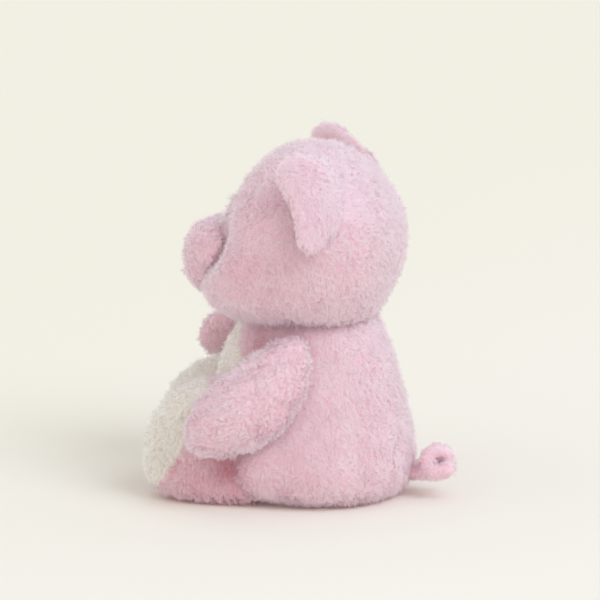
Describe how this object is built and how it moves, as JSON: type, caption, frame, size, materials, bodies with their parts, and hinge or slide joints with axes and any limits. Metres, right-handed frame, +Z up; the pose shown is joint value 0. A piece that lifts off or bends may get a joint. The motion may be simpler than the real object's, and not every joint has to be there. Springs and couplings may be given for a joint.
{
  "type": "plush pig",
  "caption": "Seated plush pig with a round head, folded ears, a short snout, paddle arms resting on its legs, a cream belly and soles, and a curled tail, on a flat weighted seat.",
  "frame": {"origin": "on the floor under the middle of the torso, on the base panel's flat underside", "axes": "+Z up, the pig faces -Y, its left side is +X"},
  "size_m": [0.194, 0.2242, 0.2556],
  "materials": {
    "pink_plush": "soft pale pink pile, matt with a light sheen",
    "cream_plush": "soft warm white pile, matt",
    "filling": "loose white polyester fibre, matt",
    "pouch_cloth": "plain woven cotton, matt",
    "bead_black": "glossy black bead",
    "washer_white": "plain white moulded plastic",
    "rose_thread": "satin-stitched rose thread"
  },
  "bodies": {
    "torso": {"torso_cover": "pink_plush", "belly_panel": "cream_plush", "base_panel": "pink_plush", "torso_stuffing": "filling", "bean_pouch": "pouch_cloth"},
    "head": {"head_cover": "pink_plush", "head_stuffing": "filling", "snout_cover": "pink_plush", "snout_disc": "pink_plush", "snout_stuffing": "filling", "nostril_left": "rose_thread", "nostril_right": "rose_thread", "eye_left": "bead_black", "eye_right": "bead_black", "eye_washer_left": "washer_white", "eye_washer_right": "washer_white"},
    "tail": {"tail": "pink_plush"},
    "ear_left": {"ear_back_left": "pink_plush", "ear_front_left": "pink_plush"},
    "arm_left": {"arm_inner_left": "pink_plush", "arm_outer_left": "pink_plush", "arm_stuffing_left": "filling"},
    "leg_left": {"leg_cover_left": "pink_plush", "sole_left": "cream_plush", "leg_stuffing_left": "filling"},
    "ear_right": {"ear_back_right": "pink_plush", "ear_front_right": "pink_plush"},
    "arm_right": {"arm_inner_right": "pink_plush", "arm_outer_right": "pink_plush", "arm_stuffing_right": "filling"},
    "leg_right": {"leg_cover_right": "pink_plush", "sole_right": "cream_plush", "leg_stuffing_right": "filling"}
  },
  "joints": [
    {"name": "neck_nod", "type": "hinge", "parent": "torso", "child": "head", "pos_m": [0, 0, 0.095], "axis": [1, 0, 0], "range_deg": [-8, 8], "stiffness_Nm_per_rad": 3},
    {"name": "shoulder_raise_left", "type": "hinge", "parent": "torso", "child": "arm_left", "pos_m": [0.05565, 0, 0.11024], "axis": [-0.9681, 0, -0.2504], "range_deg": [-15, 25], "stiffness_Nm_per_rad": 0.3},
    {"name": "shoulder_raise_right", "type": "hinge", "parent": "torso", "child": "arm_right", "pos_m": [-0.05565, 0, 0.11024], "axis": [-0.9681, 0, 0.2504], "range_deg": [-40, 0], "stiffness_Nm_per_rad": 0.3},
    {"name": "hip_close_left", "type": "hinge", "parent": "torso", "child": "leg_left", "pos_m": [0.039, -0.05, 0], "axis": [0, 0, -1], "range_deg": [0, 6], "stiffness_Nm_per_rad": 0.5},
    {"name": "hip_close_right", "type": "hinge", "parent": "torso", "child": "leg_right", "pos_m": [-0.039, -0.05, 0], "axis": [0, 0, 1], "range_deg": [0, 6], "stiffness_Nm_per_rad": 0.5},
    {"name": "ear_lift_left", "type": "hinge", "parent": "head", "child": "ear_left", "pos_m": [0.06136, 0.02825, 0.21683], "axis": [-0.5424, -0.0467, 0.8388], "range_deg": [-8, 20], "stiffness_Nm_per_rad": 0.1},
    {"name": "ear_lift_right", "type": "hinge", "parent": "head", "child": "ear_right", "pos_m": [-0.06133, 0.02824, 0.21682], "axis": [-0.5421, 0.0465, -0.839], "range_deg": [-8, 20], "stiffness_Nm_per_rad": 0.1},
    {"name": "tail_wag", "type": "hinge", "parent": "torso", "child": "tail", "pos_m": [0, 0.07726, 0.017], "axis": [0, 0, 1], "range_deg": [-10, 10], "stiffness_Nm_per_rad": 0.02}
  ]
}
